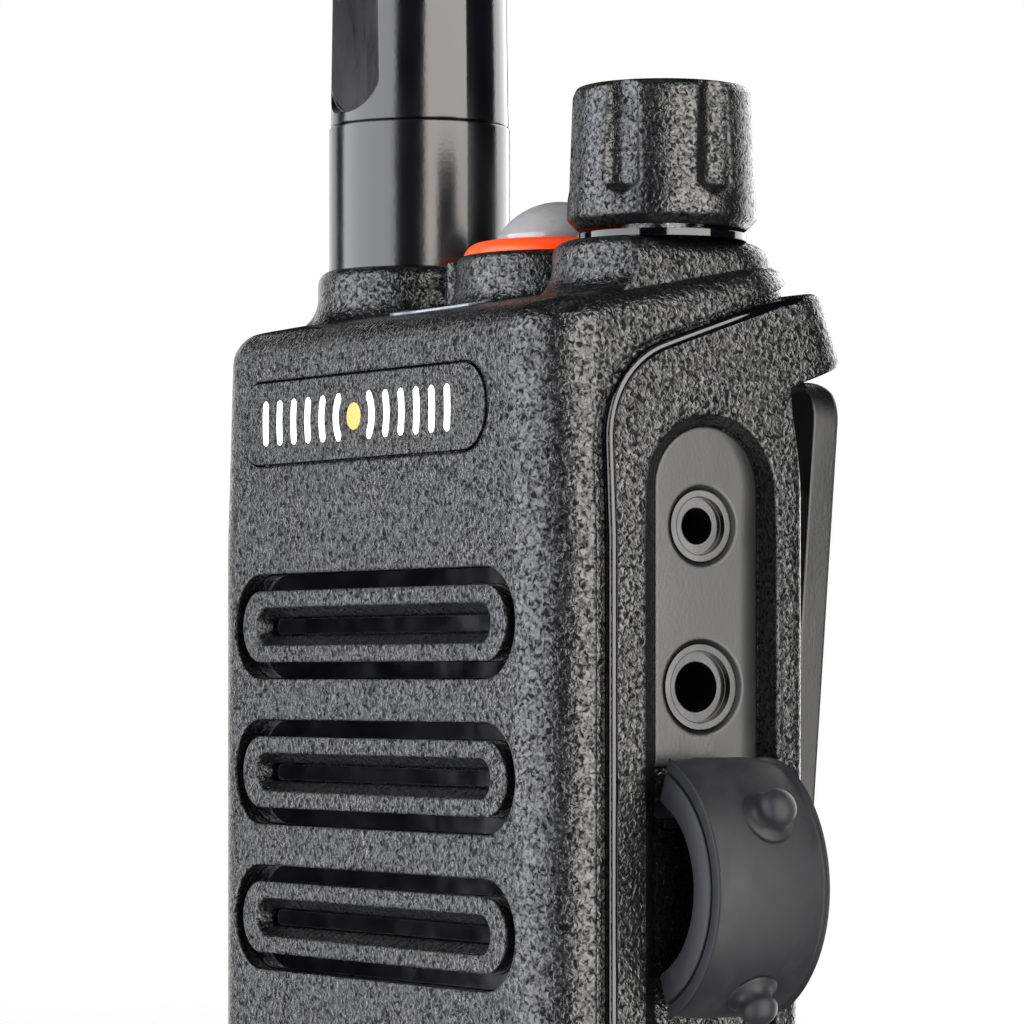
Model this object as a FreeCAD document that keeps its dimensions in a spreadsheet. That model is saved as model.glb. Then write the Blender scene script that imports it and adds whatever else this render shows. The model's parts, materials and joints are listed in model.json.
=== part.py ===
import FreeCAD, Part
import math
import os

import Sketcher
from FreeCAD import Placement, Rotation, Vector

# A handheld two-way radio, in millimetres. The origin is the centre of the base face,
# +Z runs up the body, -Y is the front with the loudspeaker slots and +X is the side with the jacks.

DIMENSIONS = {
    # Outer form of the casing
    "body_width": 49.0, "body_front": 12.0, "corner_front": 4.6, "corner_rear": 3.9,
    "draw_begin": 88.0, "draw_side": 1.3, "deck_front": 104.3, "deck_rise": 0.19,
    "deck_round": 2.6, "casing_wall": 1.8, "block_rear": 12.2, "corner_block": 6.6, "hood_rear": 15.2,
    "hood_bottom": 101.1, "hood_lean": 3.1, "hood_round": 0.9, "slope_end": 8.0,
    "boss_top": 109.5, "boss_radius": 7.9, "boss_flare": 2.9, "boss_round": 1.1,
    "ledge": 1.2,
    # Side frames of the rear housing
    "seam_y": -8.1, "frame_y": -6.95, "frame_rear": 7.8, "frame_corner": 100.07,
    "frame_round": 7.5, "frame_slope": 18.6, "frame_inner": 21.3, "groove_deep": 0.8,
    "strip_half": 23.3, "strip_rear": 10.7, "strip_corner": 1.0, "strip_bottom": 60.9,
    "bay_wall_front": -1.9, "bay_wall_rear": -0.5, "part_gap": 0.15,
    # Loudspeaker slots and badge
    "slot_half": 20.0, "slot_tall": 8.0, "slot_middle": 71.0, "slot_pitch": 11.05,
    "island_half": 18.7, "island_tall": 5.4, "trough_half": 16.9, "trough_tall": 3.5,
    "bar_half": 16.2, "bar_tall": 1.35, "plate_thick": 0.8,
    "badge_x": -1.35, "badge_half": 17.5, "badge_z": 97.45, "badge_tall": 6.15,
    "badge_thick": 0.9, "badge_proud": 0.12, "badge_round": 2.9,
    "badge_gap": 0.2,
    # Antenna, control knob and top button
    "antenna_x": -16.7, "post_y": 2.65, "antenna_radius": 7.04, "antenna_seam": 121.0,
    "antenna_top": 164.0, "antenna_top_radius": 6.3, "antenna_flat": 5.85,
    "knob_x": 16.7, "knob_radius": 6.85, "knob_top_radius": 6.45, "knob_bottom": 110.35,
    "knob_top": 120.65, "flute_count": 6.0, "flute_radius": 2.0, "flute_offset": 7.9,
    "flute_foot": 112.1, "collar_radius": 6.1, "shaft_radius": 3.0,
    "button_x": 0.7, "button_y": 4.4, "button_radius": 7.3, "button_top": 110.75, "button_travel": 0.8,
    "lens_x": -2.4, "lens_y": 3.8, "dome_radius": 5.55, "dome_centre": 108.35, "dome_waist": 4.75,
    # Jack recess, jacks and their cover
    "recess_y": 1.62, "recess_half": 5.65, "recess_top": 97.0, "recess_bottom": 48.0,
    "recess_deep": 2.3, "panel_y": 2.75, "panel_half": 4.45, "panel_bottom": 71.8,
    "jack_y": 2.42, "jack_small_z": 88.95, "jack_large_z": 77.5, "jack_small_bore": 1.3,
    "jack_large_bore": 1.8, "jack_small_ring": 2.6, "jack_large_ring": 3.1,
    "jack_length": 11.0, "hinge_x": 23.6, "hinge_z": 70.2, "cover_y": 1.75,
    "cover_top_x": 25.15, "cover_top_z": 71.73, "cover_half": 4.7, "cover_neck": 3.6,
    "cover_clear_x": 22.65, "cover_chord": 16.67, "cover_bulge": 5.8, "cover_thick": 2.5,
    "cover_skin": 1.0, "plug_y": 2.15, "plug_upper_angle": 31.0, "plug_lower_angle": -48.5,
    # Push-to-talk button and side keys, on the -X side
    "talk_low": 76.2, "talk_high": 95.2, "key_half": 3.9, "key_tall": 5.0,
    "key_upper_z": 71.7, "key_lower_z": 65.6, "key_travel": 0.6, "key_proud": 0.7,
    # Battery pack, its latch and the belt clip
    "battery_top": 59.8, "battery_half": 20.9, "clip_half": 13.0, "clip_thick": 2.2,
    "clip_top": 100.4, "clip_outer": 21.4, "clip_lean": 4.4, "clip_foot": 38.0,
    "pin_y": 14.2, "pin_z": 88.0, "pin_radius": 1.0,
    # Inner pieces
    "speaker_radius": 17.5, "net_thick": 0.25, "sound_x": 9.0, "sound_z": 30.0,
    "board_half": 15.8, "board_front": -4.6, "board_thick": 1.0, "case_screw_x": 18.6,
    "case_screw_low": 12.0, "case_screw_high": 52.0,
}

os.makedirs("parts", exist_ok=True)
doc = FreeCAD.newDocument("portable_radio")
sizes = doc.addObject("Spreadsheet::Sheet", "sizes")
for row, (alias, value) in enumerate(DIMENSIONS.items(), 1):
    sizes.set(f"A{row}", alias)
    sizes.set(f"B{row}", str(value))
    sizes.setAlias(f"B{row}", alias)
doc.recompute()

NODES = []
X, Y, Z = Vector(1, 0, 0), Vector(0, 1, 0), Vector(0, 0, 1)


def size(alias):
    """The number that a cell of the sheet holds."""
    return float(getattr(sizes, alias))


def bind(thing, **formulas):
    """Binds properties to formulas of the sheet's cells; x, y and z bind the place."""
    for name, formula in formulas.items():
        path = f"Placement.Base.{name}" if name in ("x", "y", "z") else name
        thing.setExpression(path, sheet_formula(formula))


def sheet_formula(formula):
    """The formula with the sheet's name before each of its cells."""
    words = "".join(c if c.isalnum() or c == "_" else f" {c} " for c in str(formula)).split()
    return "".join(f"sizes.{word}" if word in DIMENSIONS else word for word in words)


def node(thing, label):
    """Names an object as a finished sub-part."""
    thing.Label = label
    NODES.append(thing)
    return thing


# Primitives and booleans bound to the sheet


def box(name, x, y, z, length, width, height):
    """A Part::Box from its lowest corner and its sides."""
    made = doc.addObject("Part::Box", name)
    bind(made, x=x, y=y, z=z, Length=length, Width=width, Height=height)
    return made


def rod(name, x, y, z, radius, length, axis="z"):
    """A Part::Cylinder along an axis, from the middle of its lower end."""
    made = doc.addObject("Part::Cylinder", name)
    turns = {"x": Rotation(Y, 90), "y": Rotation(X, -90), "z": Rotation()}
    made.Placement = Placement(Vector(), turns[axis])
    bind(made, x=x, y=y, z=z, Radius=radius, Height=length)
    return made


def joined(name, *things):
    """The union of several objects."""
    made = doc.addObject("Part::MultiFuse", name)
    made.Shapes = list(things)
    return made


def cut(name, base, *tools):
    """An object with others taken away from it."""
    made = doc.addObject("Part::Cut", name)
    made.Base = base
    made.Tool = tools[0] if len(tools) == 1 else joined(name + "_tools", *tools)
    return made


def grouped(name, *things):
    """Several separate solids as one sub-part."""
    made = doc.addObject("Part::Compound", name)
    made.Links = list(things)
    return made


def shaped(label, shape):
    """A sub-part whose shape is worked out from the sheet's values."""
    made = doc.addObject("Part::Feature", label)
    made.Shape = shape
    return node(made, label)


# Bodies made from sketches


def new_body(name, x=0, y=0, z=0):
    """An empty body at a bound place."""
    made = doc.addObject("PartDesign::Body", name)
    bind(made, x=x, y=y, z=z)
    return made


def new_sketch(body, role, offset=0):
    """A sketch on one of its own body's origin planes, moved along the plane's normal."""
    made = body.newObject("Sketcher::SketchObject", f"{body.Name}_sketch")
    plane = next(f for f in body.Origin.OriginFeatures if f.Role == role)
    made.AttachmentSupport = [(plane, "")]
    made.MapMode = "FlatFace"
    bind(made, **{"AttachmentOffset.Base.z": offset})
    return made


def place_point(sketch, geometry, end, x, y):
    """Fixes a point of a sketch element by its bound distances from the origin."""
    for kind, formula in (("DistanceX", x), ("DistanceY", y)):
        index = sketch.addConstraint(Sketcher.Constraint(kind, -1, 1, geometry, end, 1.0))
        bind(sketch, **{f"Constraints[{index}]": formula})


def outline(body, role, corners, offset=0):
    """A sketch of a closed outline of straight lines, each corner bound to the sheet."""
    made = new_sketch(body, role, offset)
    count = len(corners)
    angles = [2 * math.pi * i / count for i in range(count)]
    turn = [Vector(math.cos(angle), math.sin(angle)) for angle in angles]
    for i in range(count):
        made.addGeometry(Part.LineSegment(turn[i], turn[(i + 1) % count]))
    for i in range(count):
        made.addConstraint(Sketcher.Constraint("Coincident", i, 2, (i + 1) % count, 1))
    for i, (x, y) in enumerate(corners):
        place_point(made, i, 1, x, y)
    return made


def circles(body, role, rounds, offset=0):
    """A sketch of circles, each (x, y, radius)."""
    made = new_sketch(body, role, offset)
    for i, (x, y, radius) in enumerate(rounds):
        made.addGeometry(Part.Circle(Vector(0, 0, 0), Z, 1.0 + i))
        place_point(made, i, 3, x, y)
        index = made.addConstraint(Sketcher.Constraint("Radius", i, 1.0 + i))
        bind(made, **{f"Constraints[{index}]": radius})
    return made


def rectangle(half_x, half_y, x=0, y=0):
    """The corners of a rectangle about a centre."""
    return [(f"{x} + ({sx}) * ({half_x})", f"{y} + ({sy}) * ({half_y})")
            for sx, sy in ((-1, -1), (1, -1), (1, 1), (-1, 1))]


def pad(body, sketch, length):
    """The solid that a sketch draws along its normal."""
    made = body.newObject("PartDesign::Pad", f"{body.Name}_pad")
    made.Profile = sketch
    bind(made, Length=length)
    return made


def revolved(body, profile):
    """A full turn of (radius, height) corners about the body's own upright axis."""
    sketch = outline(body, "XZ_Plane", profile)
    made = body.newObject("PartDesign::Revolution", f"{body.Name}_turn")
    made.Profile = sketch
    made.ReferenceAxis = (sketch, ["V_Axis"])
    made.Angle = 360
    return made


def round_edges(body, feature, radius, wanted):
    """Rounds the edges of a feature's shape that the test picks out."""
    doc.recompute()
    names = [f"Edge{i}" for i, edge in enumerate(feature.Shape.Edges, 1) if wanted(edge)]
    made = body.newObject("PartDesign::Fillet", f"{body.Name}_round")
    made.Base = (feature, names)
    bind(made, Radius=radius)
    return made


def at_height(height):
    """A test for edges that lie level at a height."""
    return lambda edge: all(abs(vertex.Z - height) < 1e-4 for vertex in edge.Vertexes)


# Shapes worked out in code

PLANES = {
    "x": (lambda p, level: Vector(level, p.x, p.y), X),
    "y": (lambda p, level: Vector(p.x, level, p.y), Y),
    "z": (lambda p, level: Vector(p.x, p.y, level), Z),
}


def wire(corners, normal, level):
    """A closed wire across an axis. Each corner is (a, b, radius) and its arc has that radius."""
    place = PLANES[normal][0]
    turns = []
    for i, (a, b, radius) in enumerate(corners):
        here = Vector(a, b, 0)
        if radius == 0:
            turns.append((here, None, here))
            continue
        before = (Vector(*corners[i - 1][:2], 0) - here).normalize()
        after = (Vector(*corners[(i + 1) % len(corners)][:2], 0) - here).normalize()
        half = before.getAngle(after) / 2
        inward = (before + after).normalize()
        nearest = here + inward * (radius / math.sin(half) - radius)
        reach = radius / math.tan(half)
        turns.append((here + before * reach, nearest, here + after * reach))
    edges = []
    for i, (start, nearest, end) in enumerate(turns):
        if nearest is not None:
            edges.append(Part.Arc(*(place(p, level) for p in (start, nearest, end))).toShape())
        following = turns[(i + 1) % len(turns)][0]
        if (following - end).Length > 1e-6:
            edges.append(Part.LineSegment(place(end, level), place(following, level)).toShape())
    return Part.Wire(edges)


def prism(corners, normal, low, high):
    """A rounded outline drawn straight along an axis from low to high."""
    return Part.Face(wire(corners, normal, low)).extrude(PLANES[normal][1] * (high - low))


def slab(low, high):
    """A plain block between two corners."""
    return Part.makeBox(*(Vector(*high) - Vector(*low)), Vector(*low))


def pill(half, tall, a=0.0, b=0.0):
    """The corners of a stadium of half-length half and height tall about a centre."""
    end = tall / 2 - 1e-4
    return [(a - half, b - tall / 2, end), (a + half, b - tall / 2, end),
            (a + half, b + tall / 2, end), (a - half, b + tall / 2, end)]


def arch(middle, half, bottom, top, foot_radius=0.0):
    """The corners of an upright arch with a half-round head."""
    head = half - 1e-4
    return [(middle - half, bottom, foot_radius), (middle + half, bottom, foot_radius),
            (middle + half, top, head), (middle - half, top, head)]


def turned(profile, x, y):
    """A full turn of (radius, z, rounding) corners about an upright axis at x, y."""
    face = Part.Face(wire(profile, "y", 0))
    return face.revolve(Vector(), Z, 360).translate(Vector(x, y, 0))



# Casing

HALF = size("body_width") / 2
FRONT = -size("body_front")
WALL = size("casing_wall")
GAP = size("part_gap")
SLOPE = math.tan(math.radians(size("frame_slope")))
SLOT_LEVELS = [size("slot_middle") + i * size("slot_pitch") for i in (1, 0, -1)]


def deck_height(y):
    """The height of the sloping deck at a distance from the front."""
    return size("deck_front") + size("deck_rise") * (y - FRONT)


def plan(half, front, rear, front_round, rear_round):
    """The corners of a rounded rectangle seen from above, even about the middle."""
    return [(-half, front, front_round), (half, front, front_round),
            (half, rear, rear_round), (-half, rear, rear_round)]


def casing_column(inset, rear, bottom):
    """The casing's four walls moved in by inset. Its sides draw in near the top."""
    rear_round = size("corner_block") if rear == size("block_rear") else size("corner_rear")
    low, high = size("draw_begin"), size("boss_top") + 1
    layers = []
    for level, draw in ((bottom, 0), (low, 0), (high, size("draw_side"))):
        half = HALF - inset - draw
        front_round = size("corner_front") - inset
        corners = plan(half, FRONT + inset, rear - inset, front_round, rear_round - inset)
        layers.append(wire(corners, "z", level))
    return Part.makeLoft(layers, True, True)


def casing(inset, rear, bottom, rounded=False):
    """The column cut off at the sloping deck."""
    form = casing_column(inset, rear, bottom)
    below_deck = prism([(FRONT - 5, bottom, 0), (20, bottom, 0), (20, deck_height(20) - inset, 0),
                        (FRONT - 5, deck_height(FRONT - 5) - inset, 0)], "x", -HALF, HALF)
    form = form.common(below_deck)
    if rounded:
        rim = [edge for edge in form.Edges
               if all(abs(v.Z - deck_height(v.Y)) < 1e-3 for v in edge.Vertexes)]
        form = form.makeFillet(size("deck_round"), rim)
    return form


def frame_side(front, lift, rear_corners):
    """The side view of what lies behind the seam: upright, then an arch, then a slope to the hood."""
    corner = size("frame_corner") + lift - (size("frame_y") - front) * SLOPE
    radius = size("frame_round") + size("frame_y") - front
    return [(front, -1, 0), (front, corner, radius), *rear_corners]


def slope_height(y):
    """The height of the hood's slope at a distance from the front."""
    return size("frame_corner") + (y - size("frame_y")) * SLOPE


def capped_column(inset, top):
    """The casing's column up to a level top with a rounded rim."""
    column = casing_column(inset, size("block_rear"), 90)
    column = column.common(slab((-HALF, FRONT - 1, 90), (HALF, 20, top)))
    rim = [edge for edge in column.Edges if all(abs(v.Z - top) < 1e-4 for v in edge.Vertexes)]
    return column.makeFillet(size("boss_round") + 0.3 + inset * 0.3, rim)


def boss(x, y, top):
    """A round boss with a rounded rim. It flares at its foot, set back a little from the casing's walls."""
    radius, flare, foot = size("boss_radius"), size("boss_flare"), size("deck_front") + 0.6
    form = turned([(0, 99, 0), (radius + flare, 99, 0), (radius + flare, foot, 0),
                   (radius, foot, flare * 0.98), (radius, top, size("boss_round")), (0, top, 0)], x, y)
    return form.common(capped_column(size("ledge"), top))


def flush_boss(x, y, top):
    """A boss whose drum reaches out to the casing's walls."""
    radius = size("boss_radius")
    drum = turned([(0, 99, 0), (radius, 99, 0), (radius, top, size("boss_round")), (0, top, 0)], x, y)
    return boss(x, y, top).fuse(drum.common(capped_column(0, top)))


def square_boss(x, y, top):
    """A boss that runs on to the back of the block."""
    radius, rim = size("boss_radius"), size("boss_round")
    low, high = x - radius, x + radius
    tail = prism([(low, 99, 0), (high, 99, 0), (high, top, rim), (low, top, rim)], "y", y, 20)
    return boss(x, y, top).fuse(tail.common(capped_column(size("ledge"), top)))


def stepped_bore(x, y, steps):
    """Coaxial upright bores, each (radius, low, high)."""
    return [Part.makeCylinder(r, high - low, Vector(x, y, low)) for r, low, high in steps]


def top_skirt():
    """The wall that carries the top block's sides and back down inside the hood."""
    rear, thick = size("block_rear"), 1.2
    half = size("frame_inner") + 0.9
    outer = prism(plan(half, -3, rear, 0, 6), "z", 101.7, 107.5)
    hollow = prism(plan(half - thick, -4, rear - thick, 0, 6 - thick), "z", 100, 109)
    return outer.cut(hollow)


def front_housing():
    """The front shell, with the top block and its three bosses."""
    ax, py, kx = size("antenna_x"), size("post_y"), size("knob_x")
    bx, by, top = size("button_x"), size("button_y"), size("boss_top")
    rear = size("block_rear")
    bosses = [flush_boss(ax, py, top + 0.3), flush_boss(bx, by, top + 0.4), square_boss(kx, py, top)]
    pillars = [Part.makeCylinder(0.9, top + 0.3 - 100, Vector(x, 0.9, 100)) for x in (-8.3, 8.7)]
    form = casing(0, rear, 0, rounded=True).fuse([*bosses, *pillars])
    behind = prism(frame_side(size("seam_y"), 0.6, [(20, slope_height(20) + 0.6, 0), (20, -1, 0)]),
                   "x", -HALF - 1, HALF + 1)
    inside = casing(WALL, rear, WALL)
    button_cup = Part.makeCylinder(size("button_radius") + 1.3, 2.6, Vector(bx, by, 104.6))
    inner_walls = top_skirt().fuse(button_cup).common(casing(0.5, rear, 90))
    form = form.cut([behind, inside]).fuse(inner_walls)
    slots = [prism(pill(size("slot_half"), size("slot_tall"), 0, z), "y", FRONT - 1, FRONT + WALL + 1)
             for z in SLOT_LEVELS]
    seat = prism(badge_outline(size("badge_gap")), "y", FRONT - 1, FRONT + size("badge_thick"))
    bores = stepped_bore(ax, py, [(5.0, 99, 108.6), (7.1, 108.6, 111)])
    bores += stepped_bore(bx, by, [(size("button_radius") + 0.12, 106.0, 111), (2.3, 99, 107)])
    bores += stepped_bore(kx, py, [(3.9, 99, 111)])
    sound_hole = Part.makeCylinder(0.6, 4, Vector(size("sound_x"), FRONT - 1, size("sound_z")), Y)
    form = form.cut([*slots, seat, sound_hole, light_lens(0.08), *bores])
    return form.fuse([screw_post(x, z) for x, z in case_screw_places()]).removeSplitter()


def screw_post(x, z):
    """A drilled post inside the front wall that takes one of the case screws."""
    post = Part.makeCylinder(2.3, 8.2, Vector(x, FRONT + WALL - 0.2, z), Y)
    return post.cut(Part.makeCylinder(0.95, 9, Vector(x, -8.6, z), Y))


def case_screw_places():
    """(x, z) of the screws that hold the two housings together."""
    across = size("case_screw_x")
    return [(x, size(level)) for x in (-across, across) for level in ("case_screw_low", "case_screw_high")]


def badge_outline(grow=0.0):
    """The badge's corners, moved out by grow."""
    half, tall = size("badge_half") + grow, size("badge_tall") / 2 + grow
    x, z, r = size("badge_x"), size("badge_z"), size("badge_round") + grow
    low, high = z - tall, z + tall
    return [(x - half, low, r), (x + half, low, r), (x + half, high, r), (x - half, high, r)]


def light_lens(grow=0.0):
    """A crescent in the deck, along the front foot of the middle boss."""
    middle, by = size("lens_x"), size("lens_y")
    ring = Part.makeCylinder(10.7 + grow, 9, Vector(middle, by, 101)).cut(
        Part.makeCylinder(9.4 - grow, 9, Vector(middle, by, 101)))
    window = slab((middle - 5.6 - grow, FRONT, 101), (middle + 5.6 + grow, by - 7, 112))
    top = prism([(FRONT, 102.4 - grow, 0), (0, 102.4 - grow, 0), (0, deck_height(0) + 0.15, 0),
                 (FRONT, deck_height(FRONT) + 0.15, 0)], "x", -10, 10)
    return ring.common(window).common(top)


def jack_recess():
    """The arched recess round the jacks: its front wall slopes and its rear wall is steep."""
    deep, proud, slope = size("recess_deep"), 0.7, 1.08
    front, rear = size("recess_y") - size("recess_half"), size("recess_y") + size("recess_half")
    low, high = size("recess_bottom"), size("recess_top")
    front -= proud * slope
    outer = arch((front + rear) / 2, (rear - front) / 2, low - 0.4, high + 0.3, 2.4)
    inner = arch(size("panel_y"), size("panel_half") + 0.03, low + 1.1, high - 0.9, 2)
    return Part.makeLoft([wire(outer, "x", HALF + proud), wire(inner, "x", HALF - deep)], True, True)


def talk_recess():
    """The shallow arched recess round the talk button and keys."""
    y, half, deep, draft, proud = size("recess_y"), size("recess_half"), 1.2, 1.15, 0.7
    low, high = 61.6, size("recess_top")
    outer = arch(y, half + draft * 0.3, low - 0.4, high + 0.4, 2.4)
    inner = arch(y, half - draft, low + draft, high - draft, 2)
    return Part.makeLoft([wire(outer, "x", -HALF - proud), wire(inner, "x", deep - HALF)], True, True)


def hood_block():
    """The block that the rear housing is cut from: its back leans in towards a rounded rim."""
    hood, low, high = size("hood_rear"), size("draw_begin"), size("boss_top") + 1
    layers = []
    levels = ((0, hood), (low, hood), (size("hood_bottom"), hood), (high, hood - size("hood_lean")))
    for level, rear in levels:
        draw = size("draw_side") * max(level - low, 0) / (high - low)
        corners = plan(HALF - draw, FRONT, rear, size("corner_front"), size("corner_rear"))
        layers.append(wire(corners, "z", level))
    front, back = -20, 20
    below = prism([(front, 0, 0), (back, 0, 0), (back, lip_height(back), 0), (front, lip_height(front), 0)],
                  "x", -HALF, HALF)
    form = Part.makeLoft(layers, True, True).common(below)
    rim = [edge for edge in form.Edges
           if all(abs(v.Z - lip_height(v.Y)) < 1e-3 for v in edge.Vertexes)]
    return form.makeFillet(size("hood_round"), rim)


def lip_height(y):
    """The height of the hood's rim, which flattens out behind the slope."""
    return slope_height(size("slope_end")) + size("deck_rise") * (y - size("slope_end"))


def rear_housing():
    """Both side frames, the hood, the wall before the battery bay and the block that bears the clip."""
    hood, slope_end = size("hood_rear"), size("slope_end")
    rear = [(slope_end, lip_height(slope_end), 9), (hood, lip_height(hood), 0),
            (hood, size("hood_bottom"), 1.1), (8.9, 98.9, 0.8), (size("frame_rear"), 96.6, 1.6),
            (size("frame_rear"), -1, 0)]
    shell = hood_block().common(prism(frame_side(size("frame_y"), 0, rear), "x", -HALF, HALF))
    lip_rear = [(7, slope_height(7) + 0.2, 0), (7, -1, 0)]
    lip = casing(size("groove_deep"), hood, 0).common(
        prism(frame_side(size("seam_y") + GAP, 0.35, lip_rear), "x", -HALF, HALF))
    block = prism(plan(size("strip_half"), -6, size("strip_rear"), 0, size("strip_corner")), "z",
                  size("strip_bottom"), 99.5)
    block = block.common(prism([(-7, 60, 0), (12, 60, 0), (size("strip_rear"), 90, 0), (9.5, 97, 0),
                                (9.2, 100, 0), (-7, 100, 0)], "x", -HALF, HALF))
    form = shell.fuse([lip, block])
    inner = size("frame_inner")
    upper = slab((-inner, -9, 62.3), (inner, 8.2, 98.2))
    throat = prism(plan(inner + 1.2, -9, size("block_rear") + 0.5, 0, 3.4), "z", 101.4, 112)
    throat = throat.fuse(slab((-inner, -9, 97), (inner, 8.2, 102)))
    lower = slab((-inner, -9, WALL), (inner, size("bay_wall_front"), 63))
    bay = slab((-inner, size("bay_wall_rear"), -2), (inner, 14, 60.2))
    grooves = [slab((min(s * 20, s * 22.4), 2.2, -2), (max(s * 20, s * 22.4), 4.4, 46)) for s in (-1, 1)]
    window = prism(arch(size("panel_y"), size("panel_half"), size("panel_bottom") - 0.05,
                        size("recess_top") - 0.95), "x", 19, 23)
    anchor_hole = slab((20, -1.1, 67.4), (23, 5.1, 70.3))
    openings = [jack_recess(), talk_recess(), window, anchor_hole]
    for low, high, half in key_levels():
        openings.append(prism(key_outline(low, high, half, 0.15), "x", -HALF - 1, -19))
    screw_holes = []
    for x, z in case_screw_places():
        screw_holes.append(Part.makeCylinder(1.15, 4, Vector(x, -3, z), Y))
        screw_holes.append(Part.makeCylinder(2.0, 2, Vector(x, -1.45, z), Y))
    latch_slot = [slab((-6.8, -5.9, -1), (6.8, -1.7, 3)), slab((-3.3, -2, 0.8), (3.3, 0, 2.8))]
    clip_holes = [Part.makeCylinder(1.0, 4, Vector(x, 7, z), Y) for x, z in clip_screw_places()]
    contact_slots = [slab((x - 1.2, -3, 54), (x + 1.2, 0, 58)) for x in terminal_places()]
    form = form.cut([upper, throat, lower, bay, *grooves, *openings, *screw_holes, *latch_slot,
                     *clip_holes, *contact_slots])
    return form.removeSplitter()


def key_levels():
    """(low, high, half-width) of the push-to-talk button and the two keys below it."""
    half = size("key_half")
    keys = [(size(name) - size("key_tall") / 2, size(name) + size("key_tall") / 2, half)
            for name in ("key_upper_z", "key_lower_z")]
    return [(size("talk_low"), size("talk_high"), half), *keys]


def key_outline(low, high, half, grow=0.0):
    """A key's corners seen from the side, moved out by grow."""
    y, r = size("recess_y"), min(half, (high - low) / 2) - 0.01
    return [(y - half - grow, low - grow, r), (y + half + grow, low - grow, r),
            (y + half + grow, high + grow, r), (y - half - grow, high + grow, r)]


def clip_screw_places():
    """(x, z) of the screws that hold the clip's bracket."""
    return [(x, z) for x in (-4.3, 4.3) for z in (82.3, 93.7)]


def terminal_places():
    """The x of each battery terminal."""
    return [-4.5, 0.0, 4.5]


def casing_parts():
    """Both housings, the gasket between them, the badge and the status light's lens."""
    shaped("front_housing", front_housing())
    shaped("rear_housing", rear_housing())
    loop = [(-21.9, 2.4, 2), (21.9, 2.4, 2), (21.9, 96, 6), (-21.9, 96, 6)]
    inner_loop = [(-21, 3.3, 1.1), (21, 3.3, 1.1), (21, 95.1, 5.1), (-21, 95.1, 5.1)]
    gasket = prism(loop, "y", -8.95, -8.05).cut(prism(inner_loop, "y", -9.5, -7.5))
    shaped("housing_gasket", gasket)
    shaped("badge_plate", prism(badge_outline(), "y", FRONT - size("badge_proud"),
                                FRONT + size("badge_thick") - 0.02))
    shaped("status_light_lens", light_lens())


# Loudspeaker slots


def louvre(z):
    """A pill-shaped island with a long trough that slopes in to a narrow slit."""
    deep = FRONT + WALL
    island = prism(pill(size("island_half"), size("island_tall"), 0, z), "y", FRONT + 0.02, deep)
    mouth = pill(size("trough_half"), size("trough_tall"), 0, z)
    narrow = pill(size("bar_half"), size("bar_tall"), 0, z)
    trough = Part.makeLoft([wire(mouth, "y", FRONT - 0.3), wire(narrow, "y", FRONT + 1.1)], True, True)
    slit = prism(narrow, "y", FRONT + 1, deep + 1)
    return island.cut([trough, slit])


def slot_plate():
    """The gloss plate behind the slots, with the rings' floor raised in each slot and a bar in each slit."""
    back = FRONT + WALL
    tall = 2 * size("slot_pitch") + size("slot_tall") + 3
    half, middle = size("slot_half") + 0.3, size("slot_middle")
    bar_half = size("bar_half")
    corners = [(-half, middle - tall / 2, 3), (half, middle - tall / 2, 3),
               (half, middle + tall / 2, 3), (-half, middle + tall / 2, 3)]
    form = prism(corners, "y", back + 0.02, back + size("plate_thick"))
    for z in SLOT_LEVELS:
        slot = pill(size("slot_half") - 0.05, size("slot_tall") - 0.1, 0, z)
        island = pill(size("island_half") + 0.03, size("island_tall") + 0.06, 0, z)
        ring = prism(slot, "y", back - 0.55, back + 0.1).cut(prism(island, "y", back - 2, back))
        rib = prism(pill(bar_half - 0.6, size("bar_tall") - 0.2, 0.5, z), "y", back - 0.8, back + 0.1)
        form = form.fuse([ring, rib])
    sound_ways = [prism(pill(bar_half - 1.2, 0.3, 0.6, z + side * 0.72), "y", FRONT, back + 2)
                  for z in SLOT_LEVELS for side in (-1, 1)]
    sound_ways += [Part.makeCylinder(0.35, 4, Vector(0.35 - bar_half, FRONT, z), Y) for z in SLOT_LEVELS]
    return form.cut(sound_ways)


def speaker_parts():
    """The slots' islands, the plate behind them, the net and the loudspeaker."""
    for name, z in zip(("top", "middle", "bottom"), SLOT_LEVELS):
        shaped(f"grille_louvre_{name}", louvre(z))
    shaped("grille_backing_plate", slot_plate())
    back = FRONT + WALL + 1.1
    net = rod("net", 0, "1.02 + casing_wall - body_front", "slot_middle", "speaker_radius", "net_thick", "y")
    node(net, "speaker_dust_net")
    frame = facing_body("basket", back + 0.25)
    revolved(frame, [("speaker_radius - 2.5", 0), ("speaker_radius", 0), ("speaker_radius", 1.4),
                     ("speaker_radius - 7", 3), ("speaker_radius - 7", 4.2), (0.02, 4.2), (0.02, 3.2),
                     ("speaker_radius - 8.4", 3.2), ("speaker_radius - 8.4", 2.2),
                     ("speaker_radius - 2.5", 1.0)])
    node(frame, "speaker_basket")
    cone = facing_body("cone", back + 0.3)
    revolved(cone, [(0.02, 0.7), (5, 0.9), (6, 1.6), ("speaker_radius - 4.5", 0.3),
                    ("speaker_radius - 2.7", 0.3), ("speaker_radius - 2.7", 0.6),
                    ("speaker_radius - 4.6", 0.6), (6.1, 1.9), (4.8, 1.2), (0.02, 1.0)])
    node(cone, "speaker_cone")


def facing_body(name, y):
    """An empty body behind the middle slot whose own upright axis points to the back."""
    made = new_body(name)
    made.Placement = Placement(Vector(), Rotation(X, -90))
    bind(made, x=0, y=y, z="slot_middle")
    return made


# Antenna, knob and top button


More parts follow.
